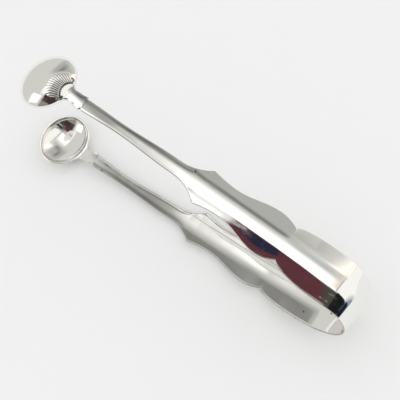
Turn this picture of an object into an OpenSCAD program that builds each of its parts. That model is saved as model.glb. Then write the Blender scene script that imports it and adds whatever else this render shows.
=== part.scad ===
// Sprung table tongs with spoon bowls, lying at rest on one side.
// The tongs are drawn about their own middle plane first: x runs from the crown of the bow to
// the tips, y across the strip, z from one arm to the other. Then they are laid on the table.

/* [Bow] */
// Depth of the round of the bow, along the tongs
bow_depth = 15.6; // [13:0.1:18]
// Half the height of the bow at its round
bow_rise = 17.8; // [16:0.1:19]
// Half the width of the strip at the crown of the bow
crown_half_w = 9.7; // [8:0.1:11]
// Half the width of the strip where the bow swells most
swell_half_w = 10.2; // [9:0.1:12]
// Where the bow swells most, from the crown
swell_x = 19; // [15:0.5:25]
// Thickness of the bow's strip
bow_t = 0.9; // [0.7:0.05:1.3]

/* [Arms] */
// Where the notch is that ends the bow
notch_x = 35.5; // [33:0.5:38]
// Half the distance between the arms at the notch
notch_rise = 20.9; // [20:0.1:22]
// Half the width at the notch
notch_half_w = 7.1; // [6:0.1:8]
// Where the bump is, past the notch
bump_x = 43.5; // [41:0.5:47]
// Half the distance between the arms at the bump
bump_rise = 21.6; // [20:0.1:23]
// Half the width at the bump
bump_half_w = 9.4; // [8.5:0.1:11]
// Where the waist is
waist_x = 61; // [57:0.5:65]
// Half the width at the waist
waist_half_w = 6.2; // [5.5:0.1:7]
// Where the pointed shoulders are
shoulder_x = 71.5; // [69:0.5:75]
// Half the distance between the arms at the shoulders
shoulder_rise = 23.5; // [22:0.1:25]
// Half the width at the shoulders
shoulder_half_w = 7.6; // [6.5:0.1:9]
// Length of the hollow sweep from the shoulders into the stem
sweep_l = 13; // [10:0.5:16]
// Thickness of the arm's strip
arm_t = 1; // [0.8:0.05:1.4]

/* [Stems] */
// Half the width of the stem at the end of the sweep
stem_half_w = 2.9; // [2.4:0.1:3.4]
// Where the stem is slimmest
slim_x = 109; // [101:1:115]
// Half the width of the stem where it is slimmest
slim_half_w = 2.05; // [1.8:0.05:2.6]
// Half the distance between the arms where the stem is slimmest
slim_rise = 25.4; // [24:0.1:26.5]
// Where the stem ends and the neck of the bowl begins
neck_x = 124.6; // [122:0.1:126]
// Half the width of the stem at its end
stem_end_half_w = 2.5; // [2.1:0.1:2.9]
// Half the distance between the arms at the neck
neck_rise = 25.3; // [24:0.1:26.5]
// Thickness of the stem
stem_t = 1.3; // [1:0.05:1.6]

/* [Section] */
// Half the width of the raised crown along the middle of the strip
rib_half_w = 3.8; // [3:0.1:4.5]
// Height of the crown over the creases beside it, on the bow and the arms
rib_rise = 0.4; // [0.2:0.05:0.7]
// Height of the crown on the slim stems
stem_rise = 0.3; // [0.1:0.05:0.6]
// How far the flanges fall for each unit of their width, at the crown of the bow
bow_fall = 0.19; // [0.1:0.01:0.25]
// The same from the end of the bow's round to the shoulders
arm_fall = 0.31; // [0.2:0.01:0.4]
// The same on the stems, where only a narrow bevel is left
stem_fall = 0.8; // [0.5:0.05:1]
// Hollow of the flanges, as a share of their fall
flange_hollow = 0.1; // [0:0.01:0.15]
// Width of the bevel left beside the crown on the stems
stem_bevel = 0.5; // [0.3:0.05:0.6]

/* [Bowls] */
// Where the middle of the bowl is
bowl_x = 141.4; // [139:0.1:143]
// Half the distance between the middles of the two rims
bowl_rise = 24.4; // [23:0.1:26]
// Half the length of the bowl
bowl_half_l = 9.9; // [9:0.1:11]
// Half the width of the bowl
bowl_half_w = 12.1; // [10:0.1:13]
// Depth of the bowl outside
bowl_depth = 5.6; // [4.5:0.1:6.5]
// Thickness of the bowl's wall
bowl_wall = 0.9; // [0.7:0.05:1.2]
// Lean of the rims towards each other at the tips
bowl_lean = 8; // [4:0.5:12]
// Half the width of the neck at its squared shoulders
neck_half_w = 3.35; // [3:0.05:3.8]
// Half the width of the neck at its waist
neck_waist_half_w = 2.85; // [2.4:0.05:3.2]

/* [Shells] */
// Number of flutes in each shell
flutes = 14; // [10:1:16]
// How far the flutes spread to either side
fan_angle = 37; // [25:1:40]
// How far behind the bowl's heel the flutes' lines would meet
fan_back = 4.1; // [3.5:0.1:4.5]
// Distance from there to the near ends of the flutes
shell_start = 6.6; // [6:0.1:7.5]
// Distance from there to their far ends
shell_end = 12.6; // [10:0.1:14]
// Height of the flutes over the bowl
flute_rise = 0.3; // [0.2:0.05:0.5]

/* [Resting] */
// Angle between the table and the tongs' middle plane
rest_tilt = 4.77; // [4.6:0.01:5]
// Where the middle of the laid-down tongs is, from the crown of the bow
rest_middle_x = 75.84; // [72:0.01:80]

/* [Hidden] */

// Where the round of the bow turns into the legs, as an angle from the crown
bow_end_angle = 80;
bow_end_x = bow_depth * (1 - cos(bow_end_angle));
bow_end_rise = bow_rise * sin(bow_end_angle);
bow_end_slope = bow_rise / bow_depth / tan(bow_end_angle);
// Half the distance between the arms at the places that shape them
legs = [
    [bow_end_x, bow_end_rise], [notch_x, notch_rise], [bump_x, bump_rise],
    [shoulder_x, shoulder_rise], [slim_x, slim_rise], [neck_x, neck_rise]
];
// Slope of the arms where they end at the neck
neck_slope = -0.03;
// Steps across the crown and across each flange
rib_steps = 6;
flange_steps = 3;
// Steps of the bow's round, and of each stretch along the arms
bow_steps = 14;
swell_steps = 9;
bump_steps = 6;
waist_steps = 10;
sweep_steps = 8;
stem_steps = 8;
// Steps round and across the bowls, and along and across each flute
round_steps = 56;
back_steps = 7;
hollow_steps = 6;
flute_along = 6;
flute_across = 4;
// How hollow the sweep from the shoulders is, and how full the bowls are (0.5 for an ellipsoid)
sweep_power = 2.6;
bowl_power = 0.62;
// How deeply the inner face is hollowed, as a share of its relief
hollow_share = 0.9;
// Where the flanges reach the fall that they have on the arms
fall_end_x = 26;
// Film of solder between a shell and the bowl's back
solder_film = 0.05;
// How far the neck runs into the wall of the bowl
neck_bite = 0.45;

function mix(a, b, s) = a + (b - a) * s;
function ease(s) = (1 - cos(180 * s)) / 2;
// Places from a up to b, closer together near a for power over 1
function span(a, b, steps, power = 1) =
    [for (i = [0:steps - 1]) mix(a, b, pow(i / steps, power))];

// Slope of the legs at one of their places
function leg_slope(i) =
    i == 0 ? bow_end_slope
    : i == len(legs) - 1 ? neck_slope
    : (legs[i + 1][1] - legs[i - 1][1]) / (legs[i + 1][0] - legs[i - 1][0]);
function leg_index(x, i = 0) = i == len(legs) - 2 || x < legs[i + 1][0] ? i : leg_index(x, i + 1);
// Height of a leg over the middle plane, as a smooth curve through its places
function leg_rise(x) =
    let (
        i = leg_index(x),
        l = legs[i + 1][0] - legs[i][0],
        s = (x - legs[i][0]) / l
    )
    (1 + 2 * s) * pow(1 - s, 2) * legs[i][1] + s * pow(1 - s, 2) * l * leg_slope(i)
        + s * s * (3 - 2 * s) * legs[i + 1][1] + s * s * (s - 1) * l * leg_slope(i + 1);

// Half the width of the bow's strip
function bow_half_w(x) =
    x < swell_x ? mix(crown_half_w, swell_half_w, ease(x / swell_x))
    : notch_half_w + (swell_half_w - notch_half_w)
        * sqrt(1 - pow((x - swell_x) / (notch_x - swell_x), 2));
// Half the width of an arm: bump, waist, pointed shoulder, hollow sweep and stem
function arm_half_w(x) =
    x < bump_x ? mix(bump_half_w, notch_half_w, pow((bump_x - x) / (bump_x - notch_x), 2))
    : x < waist_x ? mix(bump_half_w, waist_half_w, ease((x - bump_x) / (waist_x - bump_x)))
    : x <= shoulder_x
        ? mix(waist_half_w, shoulder_half_w, pow((x - waist_x) / (shoulder_x - waist_x), 2))
    : x < shoulder_x + sweep_l
        ? mix(stem_half_w, shoulder_half_w, pow(1 - (x - shoulder_x) / sweep_l, sweep_power))
    : x < slim_x
        ? mix(stem_half_w, slim_half_w, ease((x - shoulder_x - sweep_l) / (slim_x - shoulder_x - sweep_l)))
    : mix(slim_half_w, stem_end_half_w, ease((x - slim_x) / (neck_x - slim_x)));
function arm_thickness(x) =
    x < shoulder_x ? mix(bow_t, arm_t, (x - notch_x) / (shoulder_x - notch_x))
    : mix(arm_t, stem_t, min(1, (x - shoulder_x) / sweep_l));

// A station of the strip: its place, its outward normal, its half width and its thickness
function round_station(angle) =
    let (run = bow_depth * sin(angle), climb = bow_rise * cos(angle), l = norm([run, climb]))
    [
        bow_depth * (1 - cos(angle)), bow_rise * sin(angle), -climb / l, run / l,
        bow_half_w(bow_depth * (1 - cos(angle))), bow_t
    ];
function leg_station(x, half_w, t) =
    let (rise = leg_rise(x), slope = (leg_rise(x + 0.01) - leg_rise(x - 0.01)) / 0.02, l = norm([1, slope]))
    [x, rise, -slope / l, 1 / l, half_w, t];
function other_side(s) = [s[0], -s[1], s[2], -s[3], s[4], s[5]];
function reversed(list) = [for (i = [len(list) - 1:-1:0]) list[i]];

// Height of the strip's outer face over the creases beside its crown, v across from the middle
function relief(v, s) =
    let (
        rib = min(rib_half_w, s[4] - stem_bevel),
        panel_fall = mix(bow_fall, arm_fall, min(1, s[0] / fall_end_x)),
        slimness = ease(max(0, min(1, (s[0] - shoulder_x) / sweep_l))),
        flange = s[4] - rib,
        out = max(0, (abs(v) - rib) / flange)
    )
    abs(v) < rib ? mix(rib_rise, stem_rise, slimness) * (1 - pow(v / rib, 2))
    : -flange * mix(panel_fall, stem_fall, slimness) * (out + flange_hollow * sin(180 * out));
function strip_places(half_w) =
    let (rib = min(rib_half_w, half_w - stem_bevel))
    concat(
        span(-half_w, -rib, flange_steps), span(-rib, rib, rib_steps),
        span(rib, half_w, flange_steps), [half_w]
    );
// One ring of points round the strip: across its outer face, then back across its inner face
function strip_ring(s) =
    let (
        places = strip_places(s[4]),
        outer = [for (v = places) [v, s[5] / 2 + relief(v, s)]],
        inner = [for (v = reversed(places)) [v, -s[5] / 2 + hollow_share * relief(v, s)]]
    )
    [for (p = concat(outer, inner)) [s[0] + s[2] * p[1], p[0], s[1] + s[3] * p[1]]];

// A strip through the stations, closed at both ends
module strip(stations) {
    rings = [for (s = stations) strip_ring(s)];
    n = len(rings[0]);
    last = (len(rings) - 1) * n;
    polyhedron(
        points = [for (ring = rings) each ring],
        faces = [
            for (i = [0:len(rings) - 2], j = [0:n - 1])
                each [
                    [i * n + j, i * n + (j + 1) % n, (i + 1) * n + j],
                    [i * n + (j + 1) % n, (i + 1) * n + (j + 1) % n, (i + 1) * n + j]
                ],
            for (j = [0:n / 2 - 2])
                each [
                    [j, n - 1 - j, n - 2 - j, j + 1],
                    [last + j, last + j + 1, last + n - 2 - j, last + n - 1 - j]
                ]
        ]
    );
}

half_bow = concat(
    [for (a = span(0, bow_end_angle, bow_steps)) round_station(a)],
    [
        for (x = reversed(span(notch_x, bow_end_x, swell_steps, 1.7)))
            leg_station(x, bow_half_w(x), bow_t)
    ]
);
arm_places = concat(
    span(notch_x, bump_x, bump_steps, 1.2), span(bump_x, waist_x, waist_steps),
    span(waist_x, shoulder_x, bump_steps), span(shoulder_x, shoulder_x + sweep_l, sweep_steps, 1.4),
    span(shoulder_x + sweep_l, neck_x, stem_steps), [neck_x]
);
arm_stations = [for (x = arm_places) leg_station(x, arm_half_w(x), arm_thickness(x))];

// Depth of the bowl's hollow form at a share of the way from its middle to its rim
function bowl_curve(share) = pow(1 - share * share, bowl_power);
// A ring of a bowl whose half length, half width and depth are shape, at a share of its radius
function bowl_ring(shape, share) =
    [
        for (i = [0:round_steps - 1])
            let (a = 360 * i / round_steps)
            [shape[0] * share * cos(a), shape[1] * share * sin(a), shape[2] * bowl_curve(share)]
    ];
outside = [bowl_half_l, bowl_half_w, bowl_depth];
inside = [bowl_half_l - bowl_wall, bowl_half_w - bowl_wall, bowl_depth - bowl_wall];

// The bowl, rim down, with its back up and its middle on the rim's plane
module bowl_cup() {
    // Rings lie closer together near the steep rim
    back = [for (i = [0:back_steps - 1]) bowl_ring(outside, sin(90 * (1 - i / back_steps)))];
    hollow = [for (i = [0:hollow_steps - 1]) bowl_ring(inside, sin(90 * (i + 1) / hollow_steps))];
    n = round_steps;
    top = (back_steps + hollow_steps) * n;
    // From the middle of the hollow out to its rim, then from the outer rim up to the back
    rings = concat(hollow, back);
    polyhedron(
        points = concat([for (r = rings) each r], [[0, 0, inside[2]], [0, 0, outside[2]]]),
        faces = [
            for (i = [0:len(rings) - 2], j = [0:n - 1])
                each [
                    [i * n + j, (i + 1) * n + j, i * n + (j + 1) % n],
                    [i * n + (j + 1) % n, (i + 1) * n + j, (i + 1) * n + (j + 1) % n]
                ],
            for (j = [0:n - 1])
                each [
                    [top, j, (j + 1) % n],
                    [top + 1, top - n + (j + 1) % n, top - n + j]
                ]
        ]
    );
}

// Moves what is drawn about the rim's plane to the upper arm's tip
module at_bowl() {
    translate([bowl_x, 0, bowl_rise]) rotate([0, bowl_lean, 0]) children();
}

// The neck runs from the stem's end into the wall of the bowl at its heel
heel_x = bowl_x - bowl_half_l * cos(bowl_lean) + neck_bite;
heel_rise = bowl_rise + bowl_half_l * sin(bowl_lean) + stem_t / 2;
neck_steps = 7;
// Where the neck is narrowest, as a share of its length
waist_share = 0.6;
function neck_half_width(s) =
    s < waist_share ? mix(neck_half_w, neck_waist_half_w, ease(s / waist_share))
    : mix(neck_waist_half_w, neck_half_w, ease((s - waist_share) / (1 - waist_share)));
function neck_station(s) =
    let (
        x = mix(neck_x, heel_x, s),
        rise = mix(neck_rise, heel_rise, ease(s)),
        slope = s == 0 ? neck_slope : (heel_rise - neck_rise) / (heel_x - neck_x) * PI / 2 * sin(180 * s),
        l = norm([1, slope])
    )
    [x, rise, -slope / l, 1 / l, neck_half_width(s), stem_t];

// Height of the bowl's back over the rim's plane
function back_height(x, y) =
    bowl_depth * bowl_curve(min(1, norm([x / bowl_half_l, y / bowl_half_w])));

// The flutes fan out from a point behind the heel
fan_x = -bowl_half_l - fan_back;
// Nowhere does the shell pass this share of the bowl's radius
shell_reach = 0.95;
// The plate under the flutes, how far its scallops stand out, and the shortest flute
shell_plate = 0.1;
scallop = 0.4;
least_flute = 0.5;
// Distance from the fan's point to that share of the radius, at an angle
function rim_distance(a) =
    let (
        p = pow(cos(a) / bowl_half_l, 2) + pow(sin(a) / bowl_half_w, 2),
        q = fan_x * cos(a) / pow(bowl_half_l, 2),
        r = pow(fan_x / bowl_half_l, 2) - pow(shell_reach, 2)
    )
    (-q + sqrt(q * q - p * r)) / p;
// Where the shell is at j steps out and k steps across, and its share of the way across a flute
shell_cols = flutes * flute_across;
function flute_share(k) = (k % flute_across) / flute_across;
function shell_spot(j, k) =
    let (
        a = fan_angle * (2 * k / shell_cols - 1),
        end = max(shell_start + least_flute, min(shell_end, rim_distance(a))),
        r = mix(shell_start, end - scallop * pow(2 * flute_share(k) - 1, 2), j / flute_along)
    )
    [fan_x + r * cos(a), r * sin(a)];
// A point over the bowl's back at a place on the shell
function over_back(p, rise) = [p[0], p[1], back_height(p[0], p[1]) + solder_film + rise];

// The shell: a thin fan that follows the bowl's back, with a ridge along each flute
module shell_fan() {
    n = shell_cols + 1;
    m = (flute_along + 1) * n;
    function at(j, k) = j * n + k;
    under = [
        for (j = [0:flute_along], k = [0:shell_cols]) over_back(shell_spot(j, k), 0)
    ];
    over = [
        for (j = [0:flute_along], k = [0:shell_cols])
            over_back(shell_spot(j, k), shell_plate + flute_rise * sin(180 * flute_share(k)))
    ];
    polyhedron(
        points = concat(under, over),
        faces = [
            for (j = [0:flute_along - 1], k = [0:shell_cols - 1])
                each [
                    [at(j, k), at(j + 1, k), at(j + 1, k + 1)],
                    [at(j, k), at(j + 1, k + 1), at(j, k + 1)],
                    [m + at(j, k), m + at(j + 1, k + 1), m + at(j + 1, k)],
                    [m + at(j, k), m + at(j, k + 1), m + at(j + 1, k + 1)]
                ],
            for (j = [0:flute_along - 1])
                each [
                    [at(j, 0), m + at(j, 0), m + at(j + 1, 0)],
                    [at(j, 0), m + at(j + 1, 0), at(j + 1, 0)],
                    [at(j, n - 1), at(j + 1, n - 1), m + at(j + 1, n - 1)],
                    [at(j, n - 1), m + at(j + 1, n - 1), m + at(j, n - 1)]
                ],
            for (k = [0:shell_cols - 1])
                each [
                    [at(0, k), at(0, k + 1), m + at(0, k + 1)],
                    [at(0, k), m + at(0, k + 1), m + at(0, k)],
                    [at(flute_along, k), m + at(flute_along, k), m + at(flute_along, k + 1)],
                    [at(flute_along, k), m + at(flute_along, k + 1), at(flute_along, k + 1)]
                ]
        ]
    );
}

// Lays the tongs on the table, on the lower arm and the back of the lower bowl
lowest = min([
    for (s = concat(half_bow, arm_stations))
        s[0] * sin(rest_tilt) - (s[1] + s[5] / 2 + relief(0, s)) * cos(rest_tilt)
]);
module laid() {
    translate([-rest_middle_x, 0, -lowest]) rotate([0, -rest_tilt, 0]) children();
}
module below() {
    mirror([0, 0, 1]) children();
}

module arm() {
    strip(arm_stations);
}
module bowl() {
    at_bowl() bowl_cup();
    strip([for (i = [0:neck_steps]) neck_station(i / neck_steps)]);
}
module shell() {
    at_bowl() shell_fan();
}

module bow() {
    color("silver") laid()
        strip(concat(reversed([for (i = [1:len(half_bow) - 1]) other_side(half_bow[i])]), half_bow));
}
module upper_arm() {
    color("silver") laid() arm();
}
module lower_arm() {
    color("silver") laid() below() arm();
}
module upper_bowl() {
    color("gainsboro") laid() bowl();
}
module lower_bowl() {
    color("gainsboro") laid() below() bowl();
}
module upper_bowl_shell() {
    color("darkgray") laid() shell();
}
module lower_bowl_shell() {
    color("darkgray") laid() below() shell();
}

bow();
upper_arm();
lower_arm();
upper_bowl();
lower_bowl();
upper_bowl_shell();
lower_bowl_shell();
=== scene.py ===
"""Looks for the sprung tongs: each CAD node is replaced by a finer mesh of nearly its shape."""

import math

import bmesh
import bpy
import numpy as np
from mathutils import Matrix, Vector


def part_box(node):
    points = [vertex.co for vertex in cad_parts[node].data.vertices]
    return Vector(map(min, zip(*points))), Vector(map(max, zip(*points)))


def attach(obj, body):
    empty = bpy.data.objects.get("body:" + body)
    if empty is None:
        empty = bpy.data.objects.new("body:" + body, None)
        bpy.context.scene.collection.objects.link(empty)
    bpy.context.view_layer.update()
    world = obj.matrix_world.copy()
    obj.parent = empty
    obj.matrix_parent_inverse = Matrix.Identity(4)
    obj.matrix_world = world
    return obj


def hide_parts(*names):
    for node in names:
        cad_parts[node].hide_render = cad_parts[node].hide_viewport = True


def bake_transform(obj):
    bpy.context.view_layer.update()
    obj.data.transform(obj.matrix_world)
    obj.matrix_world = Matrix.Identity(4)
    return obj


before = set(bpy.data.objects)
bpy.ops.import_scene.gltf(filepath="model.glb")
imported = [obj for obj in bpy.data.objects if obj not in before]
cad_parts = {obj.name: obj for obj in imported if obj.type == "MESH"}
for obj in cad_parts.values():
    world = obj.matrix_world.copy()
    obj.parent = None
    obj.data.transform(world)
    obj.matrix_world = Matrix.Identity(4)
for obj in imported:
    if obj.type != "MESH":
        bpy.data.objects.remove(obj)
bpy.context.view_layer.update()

MM = 0.001

# The tongs are shaped about their own middle plane first, as in the CAD model: x runs from the
# crown of the bow to the tips, y across the strip, z from one arm to the other. Measures that
# part.scad gives under the same name have the same value there, but for FLANGE_HOLLOW,
# BOWL_HALF_L, FLUTE_RISE and SHELL_PLATE.
BOW_DEPTH = 15.6 * MM
BOW_RISE = 17.8 * MM
BOW_END_ANGLE = math.radians(80)
CROWN_HALF_W = 9.7 * MM
SWELL_X, SWELL_HALF_W = 19 * MM, 10.2 * MM
NOTCH_X, NOTCH_RISE, NOTCH_HALF_W = 35.5 * MM, 20.9 * MM, 7.1 * MM
BUMP_X, BUMP_RISE, BUMP_HALF_W = 43.5 * MM, 21.6 * MM, 9.4 * MM
WAIST_X, WAIST_HALF_W = 61 * MM, 6.2 * MM
SHOULDER_X, SHOULDER_RISE, SHOULDER_HALF_W = 71.5 * MM, 23.5 * MM, 7.6 * MM
SWEEP_L, SWEEP_POWER, STEM_HALF_W = 13 * MM, 2.6, 2.9 * MM
SLIM_X, SLIM_RISE, SLIM_HALF_W = 109 * MM, 25.4 * MM, 2.05 * MM
NECK_X, NECK_RISE, STEM_END_HALF_W = 124.6 * MM, 25.3 * MM, 2.5 * MM
NECK_SLOPE = -0.03
BOW_T, ARM_T, STEM_T = 0.9 * MM, 1.0 * MM, 1.3 * MM

# Section of the strip: a raised crown between two falling flanges
RIB_HALF_W = 3.8 * MM
RIB_RISE, STEM_RISE = 0.4 * MM, 0.3 * MM
BOW_FALL, ARM_FALL, STEM_FALL = 0.19, 0.31, 0.8
FALL_END_X = 26 * MM
FLANGE_HOLLOW, INNER_SHARE = 0.05, 0.9
STEM_BEVEL = 0.5 * MM
EDGE_R = 0.28 * MM

# Bowls, necks and shells
BOWL_X, BOWL_RISE = 141.4 * MM, 24.4 * MM
BOWL_HALF_L, BOWL_HALF_W, BOWL_DEPTH = 9.82 * MM, 12.1 * MM, 5.6 * MM
BOWL_WALL, RIM_R = 0.9 * MM, 0.32 * MM
BOWL_POWER, SKIRT_SLOPE = 0.62, 20 * MM
BOWL_LEAN = math.radians(8)
NECK_HALF_W, NECK_WAIST_HALF_W = 3.35 * MM, 2.85 * MM
FLARE_X = 8.8 * MM

REST_TILT = math.radians(4.77)


def smooth(s):
    """A soft step from 0 to 1."""
    s = np.clip(s, 0, 1)
    return s * s * (3 - 2 * s)


def ease(s):
    """Half a cosine wave from 0 to 1."""
    return (1 - np.cos(np.pi * s)) / 2


def mix(a, b, s):
    return a + (b - a) * s


def spread(*stretches):
    """Places along several stretches, each (start, end, steps), with the last end."""
    runs = [np.linspace(a, b, n, endpoint=False) for a, b, n in stretches]
    return np.concatenate(runs + [[stretches[-1][1]]])


# The strip's centre line and outline

BOW_END = (
    BOW_DEPTH * (1 - math.cos(BOW_END_ANGLE)),
    BOW_RISE * math.sin(BOW_END_ANGLE),
    BOW_RISE / BOW_DEPTH / math.tan(BOW_END_ANGLE),
)
LEG_X = np.array([BOW_END[0], NOTCH_X, BUMP_X, SHOULDER_X, SLIM_X, NECK_X])
LEG_RISE = np.array([BOW_END[1], NOTCH_RISE, BUMP_RISE, SHOULDER_RISE, SLIM_RISE, NECK_RISE])
LEG_SLOPE = np.concatenate(
    [[BOW_END[2]], (LEG_RISE[2:] - LEG_RISE[:-2]) / (LEG_X[2:] - LEG_X[:-2]), [NECK_SLOPE]]
)


def leg_rise(x):
    """Height of a leg over the middle plane, as a smooth curve through its places."""
    i = np.clip(np.searchsorted(LEG_X, x, side="right") - 1, 0, len(LEG_X) - 2)
    length = LEG_X[i + 1] - LEG_X[i]
    s = (x - LEG_X[i]) / length
    start = (1 + 2 * s) * (1 - s) ** 2 * LEG_RISE[i] + s * (1 - s) ** 2 * length * LEG_SLOPE[i]
    end = s * s * (3 - 2 * s) * LEG_RISE[i + 1] + s * s * (s - 1) * length * LEG_SLOPE[i + 1]
    return start + end


def bow_half_w(x):
    """Widening from the crown to the swell, then a quarter ellipse in to the notch."""
    rising = mix(CROWN_HALF_W, SWELL_HALF_W, ease(np.clip(x / SWELL_X, 0, 1)))
    past = np.clip((x - SWELL_X) / (NOTCH_X - SWELL_X), 0, 1)
    falling = NOTCH_HALF_W + (SWELL_HALF_W - NOTCH_HALF_W) * np.sqrt(1 - past**2)
    return np.where(x < SWELL_X, rising, falling)


def arm_half_w(x):
    """Bump, waist, pointed shoulder, hollow sweep and stem."""
    sweep_end = SHOULDER_X + SWEEP_L

    def share(a, b):
        return np.clip((x - a) / (b - a), 0, 1)

    bump = mix(BUMP_HALF_W, NOTCH_HALF_W, (1 - share(NOTCH_X, BUMP_X)) ** 2)
    waist = mix(BUMP_HALF_W, WAIST_HALF_W, ease(share(BUMP_X, WAIST_X)))
    shoulder = mix(WAIST_HALF_W, SHOULDER_HALF_W, share(WAIST_X, SHOULDER_X) ** 2)
    sweep = mix(STEM_HALF_W, SHOULDER_HALF_W, (1 - share(SHOULDER_X, sweep_end)) ** SWEEP_POWER)
    stem = mix(STEM_HALF_W, SLIM_HALF_W, ease(share(sweep_end, SLIM_X)))
    end = mix(SLIM_HALF_W, STEM_END_HALF_W, ease(share(SLIM_X, NECK_X)))
    return np.select(
        [x < BUMP_X, x < WAIST_X, x <= SHOULDER_X, x < sweep_end, x < SLIM_X],
        [bump, waist, shoulder, sweep, stem],
        end,
    )


def arm_thickness(x):
    """Thickening a little to the shoulder, then to the full stem."""
    panel = mix(BOW_T, ARM_T, (x - NOTCH_X) / (SHOULDER_X - NOTCH_X))
    stem = mix(ARM_T, STEM_T, np.clip((x - SHOULDER_X) / SWEEP_L, 0, 1))
    return np.where(x < SHOULDER_X, panel, stem)


SLOPE_STEP = 0.01 * MM


def leg_stations(x, half_w, thickness):
    """Place, rise, outward normal, half width and thickness, one row for each station."""
    slope = (leg_rise(x + SLOPE_STEP) - leg_rise(x - SLOPE_STEP)) / (2 * SLOPE_STEP)
    length = np.hypot(1, slope)
    return np.stack([x, leg_rise(x), -slope / length, 1 / length, half_w, thickness], 1)


def round_stations(angle):
    """The same columns as leg_stations, for angles round the bow from its crown."""
    run, climb = BOW_DEPTH * np.sin(angle), BOW_RISE * np.cos(angle)
    length = np.hypot(run, climb)
    x = BOW_DEPTH * (1 - np.cos(angle))
    thickness = np.full_like(x, BOW_T)
    columns = [x, BOW_RISE * np.sin(angle), -climb / length, run / length, bow_half_w(x), thickness]
    return np.stack(columns, 1)


def section_shape(x, half_w):
    """Half width and height of the crown, and width, fall and hollow of the flanges beside it."""
    rib = np.minimum(RIB_HALF_W, half_w - STEM_BEVEL)
    from_crown = np.clip(x / FALL_END_X, 0, 1)
    panel_fall, hollow = mix(BOW_FALL, ARM_FALL, from_crown), FLANGE_HOLLOW * from_crown**3
    slimness = ease(np.clip((x - SHOULDER_X) / SWEEP_L, 0, 1))
    rise = mix(RIB_RISE, STEM_RISE, slimness)
    return rib, rise, half_w - rib, mix(panel_fall, STEM_FALL, slimness), hollow


def relief(v, shape):
    """Height of the outer face over the creases beside its crown, for places v across."""
    rib, rise, flange, fall, hollow = shape
    out = np.clip((np.abs(v) - rib) / flange, 0, 1)
    side = -flange * fall * (out + hollow * np.sin(np.pi * out))
    return np.where(np.abs(v) < rib, rise * (1 - (v / rib) ** 2), side)


CROWN_CELLS, FLANGE_CELLS, EDGE_CELLS = 16, 9, 4


def strip_places(rib, half_w):
    """Places across each station, from the start of one rounded edge to the other."""
    flange = rib + (half_w - EDGE_R - rib) * np.linspace(0, 1, FLANGE_CELLS + 1)
    crown = rib * np.linspace(-1, 1, CROWN_CELLS + 1)
    return np.concatenate([-flange[:, :0:-1], crown, flange[:, 1:]], 1)


def edge_arc(v, upper, lower, side):
    """The rounded edge beside place v: places across, and heights above and below."""
    turn = np.linspace(0, np.pi / 2, EDGE_CELLS + 1)[1:]
    inset = EDGE_R * (1 - np.cos(turn))
    return v + side * EDGE_R * np.sin(turn), upper - inset, lower + inset


def strip_rings(s):
    """One ring of points round the strip at each station, in the tongs' own frame."""
    half_w = s[:, 4:5]
    shape = section_shape(s[:, 0:1], half_w)
    v = strip_places(shape[0], half_w)
    outer = s[:, 5:6] / 2 + relief(v, shape)
    inner = -s[:, 5:6] / 2 + INNER_SHARE * relief(v, shape)
    right, right_top, right_low = edge_arc(v[:, -1:], outer[:, -1:], inner[:, -1:], 1)
    left, left_top, left_low = edge_arc(v[:, :1], outer[:, :1], inner[:, :1], -1)
    ring_v = [left[:, ::-1], v, right, right[:, ::-1], v[:, ::-1], left]
    ring_n = [left_top[:, ::-1], outer, right_top, right_low[:, ::-1], inner[:, ::-1], left_low]
    across, out = np.concatenate(ring_v, 1), np.concatenate(ring_n, 1)
    return np.stack([s[:, 0:1] + s[:, 2:3] * out, across, s[:, 1:2] + s[:, 3:4] * out], 2)


# Meshes are lists of (points, faces), in the tongs' own frame


def grid(points, closed=False):
    """Points in rows and columns, with quads between them; closed rows join up with themselves."""
    rows, cols = points.shape[:2]
    faces = []
    for i in range(rows - 1):
        for j in range(cols if closed else cols - 1):
            k = (j + 1) % cols
            faces.append((i * cols + j, i * cols + k, (i + 1) * cols + k, (i + 1) * cols + j))
    return points.reshape(-1, 3), faces


def strip(stations):
    """A strip through the stations, closed at both ends, and which points lie on its edges."""
    points, faces = grid(strip_rings(stations), closed=True)
    n = len(points) // len(stations)
    last = len(points) - n
    for i in range(n // 2 - 1):
        faces.append((i, i + 1, n - 2 - i, n - 1 - i))
        faces.append((last + i, last + n - 1 - i, last + n - 2 - i, last + i + 1))
    # Points on the rounded edges are marked for darkening: partly tarnish, partly painted shade along
    # the cut edges
    from_side = np.minimum(np.arange(n // 2), np.arange(n // 2)[::-1])
    edge = np.concatenate([from_side < EDGE_CELLS // 2, from_side < EDGE_CELLS]).astype(float)
    return points, faces, np.tile(edge, len(stations))


def joined(parts):
    """Several (points, faces) as one."""
    points, faces = [], []
    for some_points, some_faces in parts:
        first = sum(len(p) for p in points)
        points.append(some_points)
        faces += [tuple(first + i for i in face) for face in some_faces]
    return np.concatenate(points), faces


def half_bow_stations():
    """Stations from the crown of the bow to the upper notch, closer together near the notch."""
    angles = np.linspace(0, BOW_END_ANGLE, 60, endpoint=False)
    x = BOW_END[0] + (NOTCH_X - BOW_END[0]) * (1 - np.linspace(1, 0, 56) ** 1.8)
    return np.concatenate([round_stations(angles), leg_stations(x, bow_half_w(x), BOW_T + 0 * x)])


def bow_mesh():
    """From the lower notch round the crown to the upper one."""
    upper = half_bow_stations()
    lower = upper[:0:-1] * [1, -1, 1, -1, 1, 1]
    return strip(np.concatenate([lower, upper]))


def arm_mesh():
    """From the notch to the neck, closest where the outline turns most."""
    sweep_end = SHOULDER_X + SWEEP_L
    x = np.concatenate([
        NOTCH_X + (BUMP_X - NOTCH_X) * np.linspace(0, 1, 18, endpoint=False) ** 1.2,
        spread((BUMP_X, WAIST_X, 36), (WAIST_X, SHOULDER_X, 24))[:-1],
        SHOULDER_X + SWEEP_L * np.linspace(0, 1, 34, endpoint=False) ** 1.3,
        spread((sweep_end, NECK_X, 50)),
    ])
    return strip(leg_stations(x, arm_half_w(x), arm_thickness(x)))


# The bowl and its neck are shaped in the bowl's own frame: its middle on the rim's plane, x
# towards the tip, z towards the back


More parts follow.
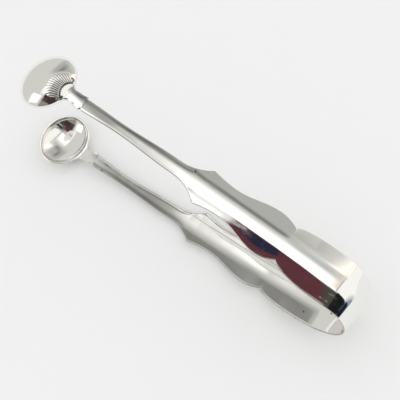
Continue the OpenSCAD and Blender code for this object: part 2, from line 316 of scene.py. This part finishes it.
def bowl_frame(x, z):
    """From the tongs' own frame to the bowl's."""
    dx, dz = x - BOWL_X, z - BOWL_RISE
    c, s = math.cos(BOWL_LEAN), math.sin(BOWL_LEAN)
    return dx * c - dz * s, dx * s + dz * c


def from_bowl_frame(points):
    """From the bowl's frame to the tongs' own."""
    c, s = math.cos(BOWL_LEAN), math.sin(BOWL_LEAN)
    x = BOWL_X + points[..., 0] * c + points[..., 2] * s
    z = BOWL_RISE - points[..., 0] * s + points[..., 2] * c
    return np.stack([x, points[..., 1], z], -1)


def dome(share, depth):
    """Height over the rim's plane at a share of the radius, running on down outside the rim."""
    inside = RIM_R + (depth - RIM_R) * (1 - np.clip(share, 0, 1) ** 2) ** BOWL_POWER
    return np.where(share < 1, inside, RIM_R - SKIRT_SLOPE * (share - 1))


def bowl_share(x, y, inset=0.0):
    """Share of the way from the bowl's middle to its outline, or to one inset from it."""
    return np.hypot(x / (BOWL_HALF_L - inset), y / (BOWL_HALF_W - inset))


NECK_START_X, NECK_START_Z = bowl_frame(NECK_X, NECK_RISE)
NECK_START_SLOPE = math.tan(math.atan(NECK_SLOPE) + BOWL_LEAN)
HEEL_X, HEEL_Z = 0.45 * MM - BOWL_HALF_L, STEM_T / 2
EAR_L, NECK_WAIST_X = 0.9 * MM, -13.2 * MM
FLARE_HALF_W = BOWL_HALF_W * math.sqrt(1 - (FLARE_X / BOWL_HALF_L) ** 2)
FLARE_SLOPE = (BOWL_HALF_W / BOWL_HALF_L) ** 2 * FLARE_X / FLARE_HALF_W


def neck_line(x):
    """Height of the neck's middle line, level past the heel of the bowl."""
    length = HEEL_X - NECK_START_X
    s = np.clip((x - NECK_START_X) / length, 0, 1)
    start = (1 + 2 * s) * (1 - s) ** 2 * NECK_START_Z + s * (1 - s) ** 2 * length * NECK_START_SLOPE
    return start + s * s * (3 - 2 * s) * HEEL_Z


def neck_half_w(x):
    """A small pointed ear at the stem, a waist, and a flare into the rim of the bowl."""
    ear = np.clip((x - NECK_START_X) / EAR_L, 0, 1)
    narrowing = np.clip((x - NECK_START_X - EAR_L) / (NECK_WAIST_X - NECK_START_X - EAR_L), 0, 1)
    length = -FLARE_X - NECK_WAIST_X
    s = np.clip((x - NECK_WAIST_X) / length, 0, 1)
    flare = mix(NECK_WAIST_HALF_W, FLARE_HALF_W, s * s * (3 - 2 * s))
    flare = flare + s * s * (s - 1) * length * FLARE_SLOPE
    waist = mix(NECK_WAIST_HALF_W, NECK_HALF_W, (1 - narrowing) ** 2)
    early = mix(STEM_END_HALF_W, NECK_HALF_W, ear**2)
    return np.select([ear < 1, x < NECK_WAIST_X], [early, waist], flare)


def neck_relief(x, y):
    """The strip's section, carried on over the neck."""
    half_w = neck_half_w(x)
    return relief(np.minimum(np.abs(y), half_w), section_shape(NECK_X + 0 * x, half_w))


# Past the heel the neck sinks into the bowl's back, and a fillet softens where they meet
BLEND, SINK_LEAD, SINK_L, SINK_DEPTH = 0.9 * MM, 0.6 * MM, 2.6 * MM, 2.6 * MM
# The inner face of the neck flattens before it reaches the rim
FLAT_LEAD, FLAT_L = 1.2 * MM, 2.5 * MM


def back_height(x, y):
    """The bowl's back and the neck's outer face, run into each other by a soft fillet."""
    sinking = SINK_DEPTH * smooth((x - HEEL_X + SINK_LEAD) / SINK_L)
    neck = neck_line(x) + STEM_T / 2 + neck_relief(x, y) - sinking
    back = dome(bowl_share(x, y), BOWL_DEPTH)
    return (neck + back + np.sqrt((neck - back) ** 2 + BLEND**2)) / 2


def hollow_height(x, y):
    """The hollow of the bowl, its rim, and the inner face of the neck."""
    share = bowl_share(x, y, BOWL_WALL)
    hollow = dome(share, BOWL_DEPTH - BOWL_WALL)
    lip = np.clip(1 - (share - 1) * BOWL_HALF_L / RIM_R, 0, 1)
    under = neck_line(x) - STEM_T / 2
    under = under + INNER_SHARE * neck_relief(x, y) * smooth((HEEL_X - FLAT_LEAD - x) / FLAT_L)
    return np.where(share < 1, hollow, under + RIM_R * (1 - np.sqrt(1 - lip**2)))


SPINE_PAST_WAIST, EDGE_TURN_L = 1.6 * MM, 2 * MM
LINE_STEPS, RING_STEPS = 18, 26


def bowl_outline():
    """Half the outline from the neck's start to the tip, and where its lines run in to."""
    ear_end = NECK_START_X + EAR_L
    x = spread((NECK_START_X, ear_end, 8), (ear_end, NECK_WAIST_X, 14), (NECK_WAIST_X, -FLARE_X, 26))
    neck = np.stack([x, neck_half_w(x)], 1)
    flare_angle = math.acos(-FLARE_X / BOWL_HALF_L)
    angle = flare_angle * (1 - np.linspace(0, 1, 80)[1:])
    rim = np.stack([BOWL_HALF_L * np.cos(angle), BOWL_HALF_W * np.sin(angle)], 1)
    # Lines from the neck's edges run in to its middle, the others to the edge of the hollow
    inner_l, inner_w = BOWL_HALF_L - BOWL_WALL, BOWL_HALF_W - BOWL_WALL
    spine = x[x <= NECK_WAIST_X + SPINE_PAST_WAIST]
    stretch = (-inner_l - NECK_START_X) / (spine[-1] - NECK_START_X)
    spine_x = NECK_START_X + (spine - NECK_START_X) * stretch
    arc = np.linspace(np.pi, flare_angle, len(x) - len(spine) + 1)[1:]
    inward = [np.stack([spine_x, 0 * spine_x], 1)]
    for some in (arc, angle):
        inward.append(np.stack([inner_l * np.cos(some), inner_w * np.sin(some)], 1))
    return np.concatenate([neck, rim]), np.concatenate(inward), len(spine) - 1


def bowl_mesh():
    """Back and hollow, each a grid of lines in from the outline and a grid over the middle."""
    outline, inward, heel = bowl_outline()
    flip = [1, -1]
    outline = np.concatenate([outline, outline[-2::-1] * flip])
    inward = np.concatenate([inward, inward[-2::-1] * flip])
    past = smooth((outline[:, 0] + FLARE_X + EDGE_TURN_L) / EDGE_TURN_L)
    edge_z = mix(neck_line(outline[:, 0]), RIM_R, past)
    line_shares = np.linspace(0, 1, LINE_STEPS) ** 1.7
    ring_shares = np.sin(np.linspace(np.pi / 2, 0, RING_STEPS))
    parts = []
    for height in (back_height, hollow_height):
        flat = outline + line_shares[:, None, None] * (inward - outline)
        inset = np.linalg.norm(flat - outline, axis=2)
        rounding = np.sqrt(1 - (1 - np.clip(inset / RIM_R, 0, 1)) ** 2)
        z = edge_z + (height(flat[..., 0], flat[..., 1]) - edge_z) * rounding
        parts.append(grid(np.concatenate([flat, z[..., None]], 2)))
        middle = inward[heel : len(inward) - heel] * ring_shares[:, None, None]
        middle_z = height(middle[..., 0], middle[..., 1])
        middle_z[0] = z[-1, heel : len(inward) - heel]
        parts.append(grid(np.concatenate([middle, middle_z[..., None]], 2)))
    points, faces = joined(parts)
    return from_bowl_frame(points), faces


# The shell on the back of each bowl

FLUTES, FLUTE_RISE, SHELL_PLATE = 14, 0.35 * MM, 0.06 * MM
FAN_X, FAN_ANGLE = -14 * MM, math.radians(37)
SHELL_START, SHELL_END = 6.6 * MM, 12.6 * MM
FAN_ROUNDING, FLUTE_TIP, SHELL_SINK = 1.4 * MM, 0.5 * MM, 0.125 * MM
FLUTE_CELLS, ALONG_CELLS, SHELL_FOOT = 8, 30, 0.25 * MM
CURL_X, CURL_Y, CURL_TURN, CURL_END_R = -7.95 * MM, 4.45 * MM, 2.7 * math.pi, 0.252 * MM
MOULDING_R, MOULDING_RISE = 0.15 * MM, 0.12 * MM
BEADS, BEAD_R, BEAD_RISE, BEAD_GAP, BEAD_SPAN = 23, 0.17 * MM, 0.03 * MM, 0.34 * MM, 0.97
BED_HALF_W, BED_RISE = 0.42 * MM, 0.06 * MM
TUBE_TIP, TUBE_TAPER_STEPS = 0.35, 8
# Heights over the back at which the heel line is blackest, and least black
BLACK_UNDER, LEAST_BLACK, LEAST_BLACK_OVER = 0.24 * MM, 0.7, 0.3 * MM


def over_back(x, y, rise):
    """Points that stand over the bowl's back."""
    return np.stack([x, y, back_height(x, y) + rise], -1)


def fan_mesh():
    """A fan of flutes that rise steeply at the heel and sink into the back at their far ends."""
    across = np.linspace(-1, 1, FLUTES * FLUTE_CELLS + 1)
    along = np.linspace(0, 1, ALONG_CELLS + 1)[:, None]
    flute = (across * FLUTES / 2) % 1
    angle = FAN_ANGLE * across
    reach = SHELL_END - FAN_ROUNDING * across**2 - FLUTE_TIP * (2 * flute - 1) ** 2
    r = SHELL_START + (reach - SHELL_START) * along
    x, y = FAN_X + r * np.cos(angle), r * np.sin(angle)
    body = smooth(along / 0.06) * (1 - smooth((along - 0.45) / 0.55))
    ridge = FLUTE_RISE * (1 - np.abs(2 * flute - 1) ** 3) * body
    sinking = SHELL_SINK * smooth((along - 0.6) / 0.4)
    top = over_back(x, y, SHELL_PLATE + ridge - sinking)
    low = over_back(x, y, -SHELL_FOOT)
    rings = np.concatenate([top, low[:, ::-1]], 1)
    points, faces = grid(rings, closed=True)
    n = rings.shape[1]
    last = len(points) - n
    for j in range(n // 2 - 1):
        faces.append((j, j + 1, n - 2 - j, n - 1 - j))
        faces.append((last + j, last + n - 1 - j, last + n - 2 - j, last + j + 1))
    darkening = (1 - np.sin(np.pi * flute)) ** 2 * smooth((0.9 - along) / 0.7)
    return points, faces, np.concatenate([darkening, darkening], 1).ravel()


def heel_path():
    """The moulding along the heel of the shell, with a curl at each end."""
    end_x, end_y = FAN_X + SHELL_START * math.cos(FAN_ANGLE), SHELL_START * math.sin(FAN_ANGLE)
    start = math.atan2(end_y - CURL_Y, end_x - CURL_X)
    reach = math.hypot(end_x - CURL_X, end_y - CURL_Y)
    turn = np.linspace(0, 1, 34)
    r = mix(reach, CURL_END_R, turn)
    curl = start + CURL_TURN * turn
    curl = np.stack([CURL_X + r * np.cos(curl), CURL_Y + r * np.sin(curl)], 1)
    angle = np.linspace(FAN_ANGLE, -FAN_ANGLE, 60)[1:-1]
    middle = np.stack([FAN_X + SHELL_START * np.cos(angle), SHELL_START * np.sin(angle)], 1)
    return np.concatenate([curl[::-1], middle, curl * [1, -1]])


def tube_mesh(path, half_w, half_h, rise, sides=10):
    """A round or flat moulding that follows a path over the bowl's back."""
    line = over_back(path[:, 0], path[:, 1], rise)
    along = np.gradient(line, axis=0)
    along /= np.linalg.norm(along, axis=1, keepdims=True)
    side = np.cross(along, [0, 0, 1])
    side /= np.linalg.norm(side, axis=1, keepdims=True)
    up = np.cross(side, along)
    turn = np.linspace(0, 2 * np.pi, sides, endpoint=False)[:, None]
    from_tip = np.minimum(np.arange(len(path)), np.arange(len(path))[::-1])
    taper = np.minimum(1, TUBE_TIP + from_tip / TUBE_TAPER_STEPS)
    ring = side[:, None] * half_w * np.cos(turn) + up[:, None] * half_h * np.sin(turn)
    points, faces = grid(line[:, None] + taper[:, None, None] * ring, closed=True)
    faces.append(tuple(range(sides)))
    faces.append(tuple(range(len(points) - 1, len(points) - 1 - sides, -1)))
    return points, faces


def bead_mesh(x, y):
    """A small round bead that sits half sunk in the bowl's back."""
    rise = np.linspace(-np.pi / 2, np.pi / 2, 7)[:, None]
    turn = np.linspace(0, 2 * np.pi, 10, endpoint=False)
    ball = [np.cos(rise) * np.cos(turn), np.cos(rise) * np.sin(turn), np.sin(rise) + 0 * turn]
    middle = over_back(np.array(x), np.array(y), BEAD_RISE)
    return grid(middle + BEAD_R * np.stack(ball, 2), closed=True)


def shell_mesh():
    """The flutes, the moulding with its curls, a row of beads, and how tarnished each point is."""
    *fan, darkening = fan_mesh()
    bed = tube_mesh(heel_path(), BED_HALF_W, BED_RISE, 0)
    parts = [fan, bed, tube_mesh(heel_path(), MOULDING_R, MOULDING_R, MOULDING_RISE)]
    r = SHELL_START - BEAD_GAP
    for angle in np.linspace(-1, 1, BEADS) * FAN_ANGLE * BEAD_SPAN:
        parts.append(bead_mesh(FAN_X + r * math.cos(angle), r * math.sin(angle)))
    points, faces = joined(parts)
    rest = points[len(darkening) :]
    height = rest[:, 2] - back_height(rest[:, 0], rest[:, 1])
    black = np.interp(height, [BLACK_UNDER, LEAST_BLACK_OVER], [1, LEAST_BLACK])
    return from_bowl_frame(points), faces, np.concatenate([darkening, black])


# From shapes to pieces


def laid(points):
    """From the tongs' own frame to the row frame, still without the shift onto the table."""
    c, s = math.cos(REST_TILT), math.sin(REST_TILT)
    x = points[..., 0] * c - points[..., 2] * s
    z = points[..., 0] * s + points[..., 2] * c
    return np.stack([x, points[..., 1], z], -1)


def onto_table(bow_points):
    """The shift that puts the bow where its CAD node lies."""
    low = laid(bow_points).min(0)
    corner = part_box("bow")[0]
    return np.array([corner.x - low[0], 0, corner.z - low[2]])


SHARP_ANGLE, WELD_GAP = math.radians(40), 0.002 * MM


def piece(name, shape, shift, material, lower=False):
    """A smooth piece that stands for the CAD node of the same name."""
    points, faces, *darkening = shape
    points = laid(points * [1, 1, -1 if lower else 1]) + shift
    mesh = bpy.data.meshes.new(name)
    mesh.from_pydata(points.tolist(), [], faces)
    # Darkening values: tarnish on the shells, and partly tarnish, partly painted shade on the strips'
    # edges
    if darkening:
        mesh.attributes.new("tarnish_and_edge_shade", "FLOAT", "POINT").data.foreach_set("value", darkening[0])
    mesh.materials.append(material)
    tidy_mesh(mesh)
    mesh.polygons.foreach_set("use_smooth", [True] * len(mesh.polygons))
    mesh.set_sharp_from_angle(angle=SHARP_ANGLE)
    obj = bpy.data.objects.new(name + "_silver", mesh)
    bpy.context.scene.collection.objects.link(obj)
    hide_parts(name)
    return obj


def tidy_mesh(mesh):
    """Joins points that meet, closes the cut ends and turns every face outwards."""
    bm = bmesh.new()
    bm.from_mesh(mesh)
    bmesh.ops.remove_doubles(bm, verts=bm.verts, dist=WELD_GAP)
    open_edges = [edge for edge in bm.edges if edge.is_boundary]
    bmesh.ops.holes_fill(bm, edges=open_edges)
    bmesh.ops.recalc_face_normals(bm, faces=bm.faces)
    bm.to_mesh(mesh)
    bm.free()


# Materials


class Nodes:
    """A small helper that adds shader nodes and links them."""

    def __init__(self, tree):
        self.tree = tree
        tree.nodes.clear()

    def add(self, kind, inputs=(), **settings):
        node = self.tree.nodes.new(kind)
        for key, value in settings.items():
            setattr(node, key, value)
        for key, value in dict(inputs).items():
            self.feed(node.inputs[key], value)
        return node

    def feed(self, socket, value):
        if isinstance(value, bpy.types.NodeSocket):
            self.tree.links.new(value, socket)
        else:
            socket.default_value = value

    def math(self, operation, a, b=0.0):
        return self.add("ShaderNodeMath", {0: a, 1: b}, operation=operation).outputs[0]

    def ramp(self, value, low, high, start=0.0, end=1.0):
        """A soft step of value from low to high."""
        inputs = {"Value": value, "From Min": low, "From Max": high, "To Min": start, "To Max": end}
        return self.add("ShaderNodeMapRange", inputs, interpolation_type="SMOOTHSTEP").outputs[0]

    def window(self, value, low, high, soft):
        """One between low and high, with soft borders, and zero outside."""
        rise = self.ramp(value, low - soft, low + soft)
        return self.math("MULTIPLY", rise, self.ramp(value, high - soft, high + soft, 1.0, 0.0))

    def mix(self, share, a, b):
        return self.add("ShaderNodeMixRGB", {"Fac": share, "Color1": a, "Color2": b}).outputs[0]

    def noise(self, vector, scale, stretch=(1, 1, 1), detail=3.0):
        """Noise with features of about 1 / scale metres, drawn out where stretch is below 1."""
        place = self.add("ShaderNodeMapping", {"Vector": vector, "Scale": stretch}).outputs[0]
        inputs = {"Vector": place, "Scale": scale, "Detail": detail}
        return self.add("ShaderNodeTexNoise", inputs).outputs["Fac"]

    def bump(self, height, depth, normal=None):
        inputs = {"Height": height, "Distance": depth}
        if normal is not None:
            inputs["Normal"] = normal
        return self.add("ShaderNodeBump", inputs).outputs[0]


# Small dark pits in the silver, in the row frame
BOW_PITS = [(-67.7 * MM, 1.0 * MM, 4.8 * MM), (-58.2 * MM, 6.0 * MM, 3.2 * MM)]
ARM_PITS = [(-1.3 * MM, -2.5 * MM, 49.7 * MM), (45.5 * MM, 2.1 * MM, 4.0 * MM)]

SILVER = (0.93, 0.92, 0.895, 1)
WORN_SILVER = (0.87, 0.85, 0.8, 1)
# Grey for a painted dark reflection on the stems
PAINTED_REFLECTION_GREY = (0.3, 0.295, 0.28, 1)
# Dark for tarnish, and also for painted shade on the strips' cut edges
TARNISH_AND_EDGE_SHADE = (0.03, 0.025, 0.02, 1)
PIT_BLACK = (0.015, 0.015, 0.02, 1)
PIT_R, PIT_EDGE_R = 0.28 * MM, 0.42 * MM
WAVE_DEPTH, SCRATCH_DEPTH, GOUGE_DEPTH = 0.05 * MM, 0.004 * MM, 0.012 * MM


def silver(name, roughness, scratches, haze=0.0, tarnish_and_shade=0.0, stem_reflection=False, pits=()):
    """Polished silver: soft waves, scratches along the tongs, patches of haze, and small pits."""
    material = bpy.data.materials.new(name)
    material.use_nodes = True
    n = Nodes(material.node_tree)
    place = n.add("ShaderNodeTexCoord").outputs["Object"]
    gouges = n.ramp(n.noise(place, 500, (0.03, 1, 1), 2.0), 0.62, 0.7)
    patches = n.ramp(n.noise(place, 130), 0.45, 0.7)

    blotches = n.ramp(n.noise(place, 260), 0.35, 0.75, roughness, roughness + 0.05 + haze)
    rough = n.math("ADD", blotches, n.math("MULTIPLY", gouges, 0.1 * scratches))
    colour = n.mix(n.math("MULTIPLY", patches, 0.25), SILVER, WORN_SILVER)
    # The stems' colour is darkened with a painted dark reflection
    if stem_reflection:
        colour = n.mix(painted_stem_reflection(n, place), colour, PAINTED_REFLECTION_GREY)
    if tarnish_and_shade:
        colour = tarnished_and_edge_shaded(n, colour, tarnish_and_shade)
    for pit in pits:
        colour = pitted(n, place, colour, pit)

    normal = worn_normal(n, place, n.math("MULTIPLY", gouges, patches), scratches)
    inputs = {"Base Color": colour, "Roughness": rough, "Normal": normal}
    shader = n.add("ShaderNodeBsdfPrincipled", inputs)
    shader.inputs["Metallic"].default_value = 1.0
    n.add("ShaderNodeOutputMaterial", {"Surface": shader.outputs[0]})
    return material


def worn_normal(n, place, gouges, scratches):
    """Soft waves of hand polishing, fine scratches, and deeper ones in patches."""
    normal = n.bump(n.noise(place, 90, detail=1.0), WAVE_DEPTH)
    fine = n.noise(place, 900, (0.02, 1, 1), 4.0)
    normal = n.bump(fine, SCRATCH_DEPTH * scratches, normal)
    return n.bump(gouges, -GOUGE_DEPTH * scratches, normal)


def tarnished_and_edge_shaded(n, colour, tarnish_and_shade):
    """Tarnish in the grooves, and on cut edges a darkening that is partly tarnish and partly painted
    shade, where the mesh's own values put it.
    """
    tarnish_and_edge_shade = n.add("ShaderNodeAttribute", attribute_name="tarnish_and_edge_shade").outputs["Fac"]
    return n.mix(n.math("MULTIPLY", tarnish_and_edge_shade, tarnish_and_shade), colour, TARNISH_AND_EDGE_SHADE)


def pitted(n, place, colour, pit):
    gap = n.add("ShaderNodeVectorMath", {0: place, 1: pit}, operation="DISTANCE").outputs["Value"]
    return n.mix(n.ramp(gap, PIT_R, PIT_EDGE_R, 1.0, 0.0), colour, PIT_BLACK)


def painted_stem_reflection(n, place):
    """How much painted grey, a painted dark reflection, darkens the silver: the stems, and the lower
    one most of all.
    """
    x, y, z = n.add("ShaderNodeSeparateXYZ", {0: place}).outputs
    # The painted grey ends sooner on the near side of the necks, and never reaches the bowls
    slanted = n.ramp(n.math("ADD", x, n.math("MULTIPLY", y, 5.0)), 42 * MM, 57 * MM, 1.0, 0.0)
    end = n.math("MULTIPLY", slanted, n.ramp(x, 49 * MM, 56 * MM, 1.0, 0.0))
    along = n.math("MULTIPLY", n.ramp(x, -8 * MM, 22 * MM), end)
    painted_grey = n.math("MULTIPLY", along, n.ramp(z, 28 * MM, 32 * MM, 0.75, 0.62))
    return n.math("MULTIPLY", painted_grey, n.ramp(n.noise(place, 150), 0.2, 0.6, 0.8, 1.0))


def table_top():
    """Plain off-white card with a very faint mottle."""
    material = bpy.data.materials.new("card")
    material.use_nodes = True
    n = Nodes(material.node_tree)
    place = n.add("ShaderNodeTexCoord").outputs["Object"]
    colour = n.mix(n.noise(place, 40), (0.93, 0.93, 0.915, 1), (0.915, 0.915, 0.9, 1))
    shader = n.add("ShaderNodeBsdfPrincipled", {"Base Color": colour, "Roughness": 0.9})
    shader.inputs["Specular IOR Level"].default_value = 0.1
    n.add("ShaderNodeOutputMaterial", {"Surface": shader.outputs[0]})
    return material


# Studio


ROOM = (0.66, 0.66, 0.63, 1)

# What else the silver mirrors, each patch painted over the ones before it: its colour, the
# stretch of the mirrored direction's x and of its y that it covers, and how soft its borders are
FAR_SIDE = [
    ((0.44, 0.45, 0.43), (-0.24, 0.45), (-0.95, -0.46), (0.08, 0.1)),
    ((0.2, 0.21, 0.2), (-0.24, 0.08), (-0.62, -0.5), (0.06, 0.06)),
    ((0.24, 0.24, 0.23), (0.08, 0.24), (-0.88, -0.58), (0.08, 0.12)),
]
WINDOW_OVERHEAD = [
    ((1.25, 1.25, 1.24), (-0.53, 0.15), (-0.33, 0.32), (0.07, 0.12)),
    ((0.52, 0.55, 0.56), (-0.43, -0.27), (-0.54, -0.4), (0.04, 0.06)),
    ((1.2, 1.14, 1.04), (-0.6, -0.35), (-0.95, -0.62), (0.05, 0.05)),
]
WALLS_BEYOND_BOW = [
    ((1.0, 0.99, 0.97), (-0.95, -0.6), (-0.95, 0.1), (0.02, 0.05)),
    ((0.85, 0.72, 0.58), (-0.53, -0.48), (-0.7, -0.05), (0.035, 0.1)),
    ((0.3, 0.34, 0.42), (-0.575, -0.545), (-0.45, 0.04), (0.02, 0.08)),
]
NEAR_SIDE_AND_LAMP = [
    ((0.28, 0.26, 0.23), (-1.1, -0.16), (0.6, 1.1), (0.05, 0.08)),
    ((0.035, 0.032, 0.03), (-1.1, -0.15), (0.26, 0.66), (0.04, 0.03)),
    ((1.6, 1.6, 1.55), (0.02, 0.5), (0.45, 0.85), (0.06, 0.06)),
]
FIGURE_WITH_CAMERA = [
    ((0.11, 0.035, 0.045), (-0.62, -0.11), (0.135, 0.4), (0.02, 0.012)),
    ((0.02, 0.022, 0.05), (-0.28, -0.13), (0.25, 0.46), (0.03, 0.02)),
    ((0.1, 0.05, 0.035), (-0.45, -0.16), (0.46, 0.6), (0.04, 0.03)),
    ((0.06, 0.065, 0.045), (-0.8, -0.44), (0.08, 0.24), (0.05, 0.03)),
    ((0.01, 0.011, 0.012), (-1.2, -0.64), (0.02, 0.22), (0.06, 0.02)),
]
HORIZON = [
    ((0.006, 0.009, 0.03), (-1.2, -0.975), (-0.02, 0.12), (0.01, 0.02)),
    ((0.25, 0.32, 0.42), (-1.2, -0.98), (-0.4, -0.02), (0.01, 0.02)),
]


def reflections(n):
    """A pale room with bright windows, and a dark figure at the near side."""
    way = n.add("ShaderNodeTexCoord").outputs["Generated"]
    x, y, _ = n.add("ShaderNodeSeparateXYZ", {0: way}).outputs
    light = ROOM
    patches = FAR_SIDE + WINDOW_OVERHEAD + WALLS_BEYOND_BOW + NEAR_SIDE_AND_LAMP
    for colour, stretch_x, stretch_y, soft in patches + FIGURE_WITH_CAMERA + HORIZON:
        share = n.math("MULTIPLY", n.window(x, *stretch_x, soft[0]), n.window(y, *stretch_y, soft[1]))
        light = n.mix(share, light, (*colour, 1))
    return light


def studio_world():
    """Even soft light for all but the mirrored rays, which see the room."""
    world = bpy.data.worlds.new("studio")
    bpy.context.scene.world = world
    world.use_nodes = True
    n = Nodes(world.node_tree)
    soft = n.add("ShaderNodeBackground", {"Color": (0.985, 0.99, 1.0, 1), "Strength": 0.975})
    mirrored = n.add("ShaderNodeBackground", {"Color": reflections(n), "Strength": 1.0})
    glossy = n.add("ShaderNodeLightPath").outputs["Is Glossy Ray"]
    both = n.add("ShaderNodeMixShader", {0: glossy, 1: soft.outputs[0], 2: mirrored.outputs[0]})
    n.add("ShaderNodeOutputWorld", {"Surface": both.outputs[0]})


def floor():
    bpy.ops.mesh.primitive_plane_add(size=3, location=(0, 0, -0.02 * MM))
    plane = bpy.context.object
    plane.name = "floor"
    plane.data.materials.append(table_top())


def camera():
    """Above the bow's end of the tongs and to their near side."""
    aim = Vector((3.73, -11.68, 0)) * MM
    distance, azimuth, elevation = 307.7 * MM, math.radians(126.04), math.radians(66.48)
    away = Vector((
        math.cos(elevation) * math.cos(azimuth),
        math.cos(elevation) * math.sin(azimuth),
        math.sin(elevation),
    ))
    data = bpy.data.cameras.new("camera")
    data.sensor_width = 36
    data.lens = 64.745
    data.clip_start = 0.01
    obj = bpy.data.objects.new("camera", data)
    bpy.context.scene.collection.objects.link(obj)
    roll = Matrix.Rotation(math.radians(-1.62), 4, "Z")
    turned = away.to_track_quat("Z", "Y").to_matrix().to_4x4() @ roll
    obj.matrix_world = Matrix.Translation(aim + away * distance) @ turned
    bpy.context.scene.camera = obj


def tongs():
    """All seven pieces: the bow is left on its own between the two bodies, and the others ride on
    one.
    """
    bow_shape, arm_shape, bowl_shape, shell_shape = bow_mesh(), arm_mesh(), bowl_mesh(), shell_mesh()
    shift = onto_table(bow_shape[0])
    # The bow and arms get darkened cut edges, partly tarnish and partly painted shade
    bow_silver = silver("bow_silver", 0.03, 1.0, tarnish_and_shade=0.6, pits=BOW_PITS)
    arm_silver = silver("arm_silver", 0.03, 1.0, tarnish_and_shade=0.6, stem_reflection=True, pits=ARM_PITS)
    bowl_silver = silver("bowl_silver", 0.07, 0.6, haze=0.06, stem_reflection=True)
    shell_silver = silver("shell_silver", 0.08, 0.3, tarnish_and_shade=0.95)

    bow = piece("bow", bow_shape, shift, bow_silver)
    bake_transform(bow)

    for side in ("upper", "lower"):
        low = side == "lower"
        arm = piece(side + "_arm", arm_shape, shift, arm_silver, low)
        bowl = piece(side + "_bowl", bowl_shape, shift, bowl_silver, low)
        shell = piece(side + "_bowl_shell", shell_shape, shift, shell_silver, low)
        for part in (arm, bowl, shell):
            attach(part, side)


bpy.context.scene.view_settings.view_transform = "Standard"
studio_world()
floor()
camera()
tongs()
